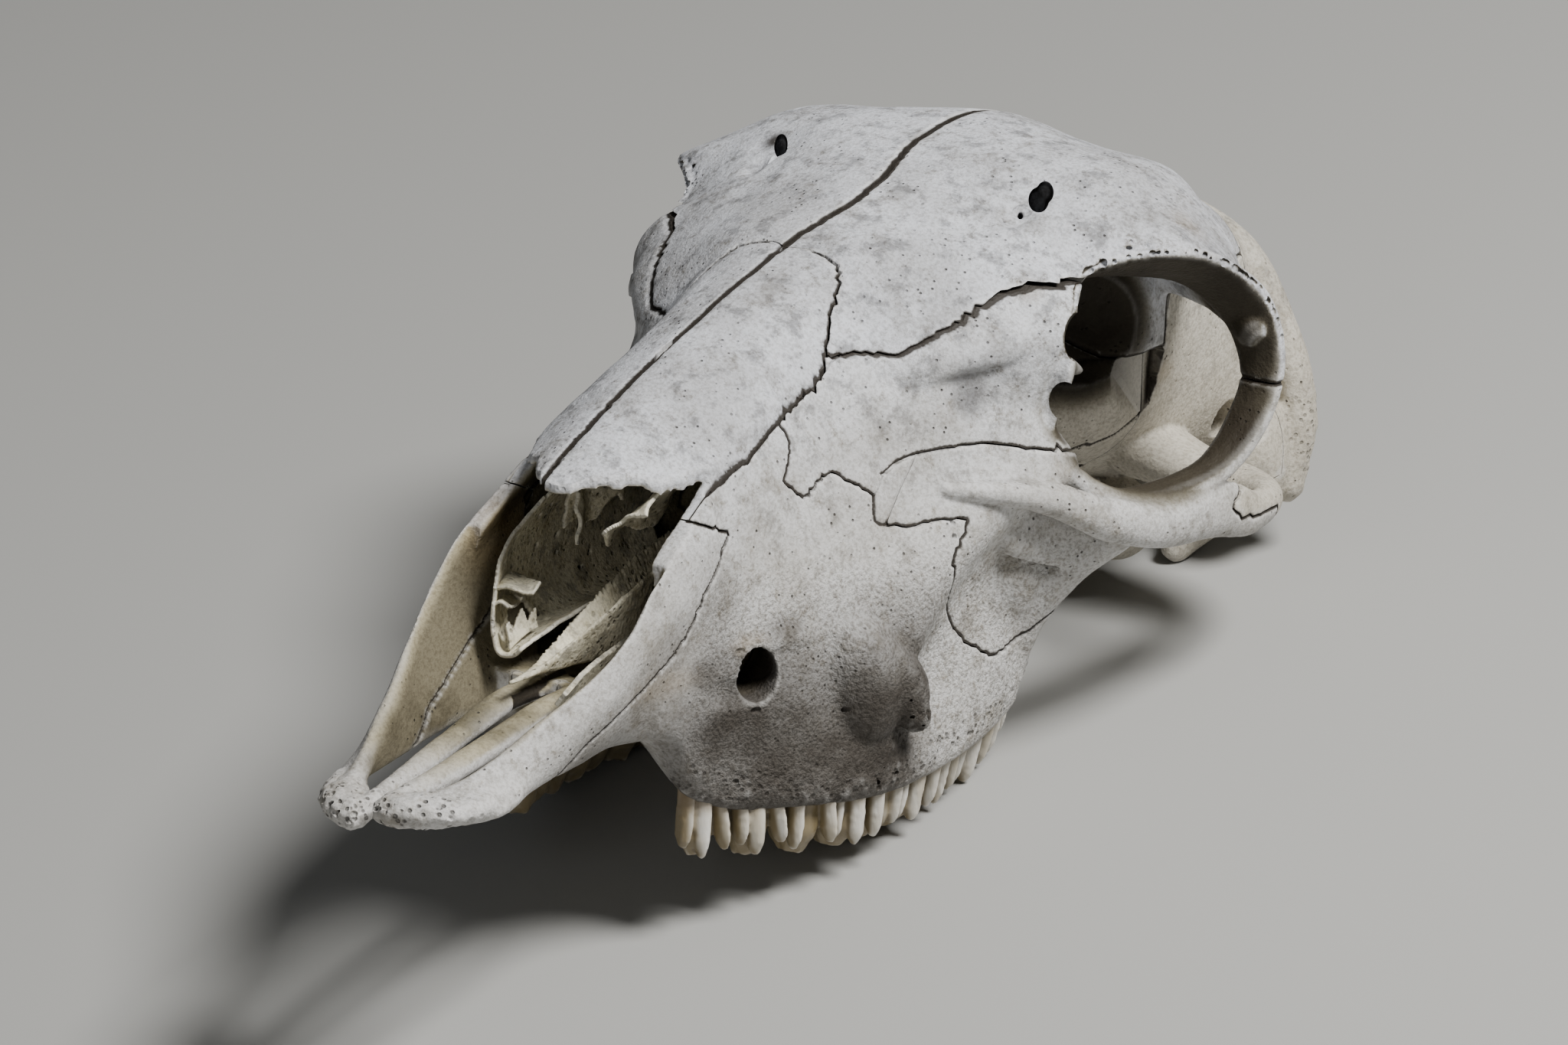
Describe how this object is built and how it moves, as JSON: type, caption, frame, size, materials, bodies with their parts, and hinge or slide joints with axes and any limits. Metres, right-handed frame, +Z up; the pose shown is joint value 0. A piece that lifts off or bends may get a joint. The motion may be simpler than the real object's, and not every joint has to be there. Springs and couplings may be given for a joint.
{
  "type": "sheep skull",
  "caption": "Weathered skull of a hornless sheep without its lower jaw, upper cheek teeth in place, bones parted by open sutures, lying on its back teeth and skull base.",
  "frame": {"origin": "centre of the bounding box's bottom face, on the ground it lies on", "axes": "+Z up, +Y towards the back of the head, -Y towards the snout, +X to the animal's left"},
  "size_m": [0.1234, 0.2418, 0.0954],
  "materials": {
    "upper_bone": "pale grey-white dry bone, cool, finely pitted, matte",
    "tooth_bearing_bone": "dry bone stained beige and grey-brown above the teeth, with ivory tooth enamel",
    "face_bone": "warm pale dry bone with fine pits and grain",
    "base_bone": "cream dry bone, matte",
    "thin_bone": "olive-cream thin spongy bone, matte"
  },
  "bodies": {
    "root": {"frontal_left": "upper_bone", "frontal_right": "upper_bone", "lacrimal_left": "face_bone", "lacrimal_right": "face_bone", "maxilla_left": "tooth_bearing_bone", "maxilla_right": "tooth_bearing_bone", "nasal_left": "upper_bone", "nasal_right": "upper_bone", "occipital": "base_bone", "palatine_left": "base_bone", "palatine_right": "base_bone", "parietal": "upper_bone", "premaxilla_left": "face_bone", "premaxilla_right": "face_bone", "sphenoid": "base_bone", "temporal_left": "base_bone", "temporal_right": "base_bone", "turbinate_left": "thin_bone", "turbinate_right": "thin_bone", "vomer": "thin_bone", "zygomatic_left": "face_bone", "zygomatic_right": "face_bone"}
  },
  "joints": []
}
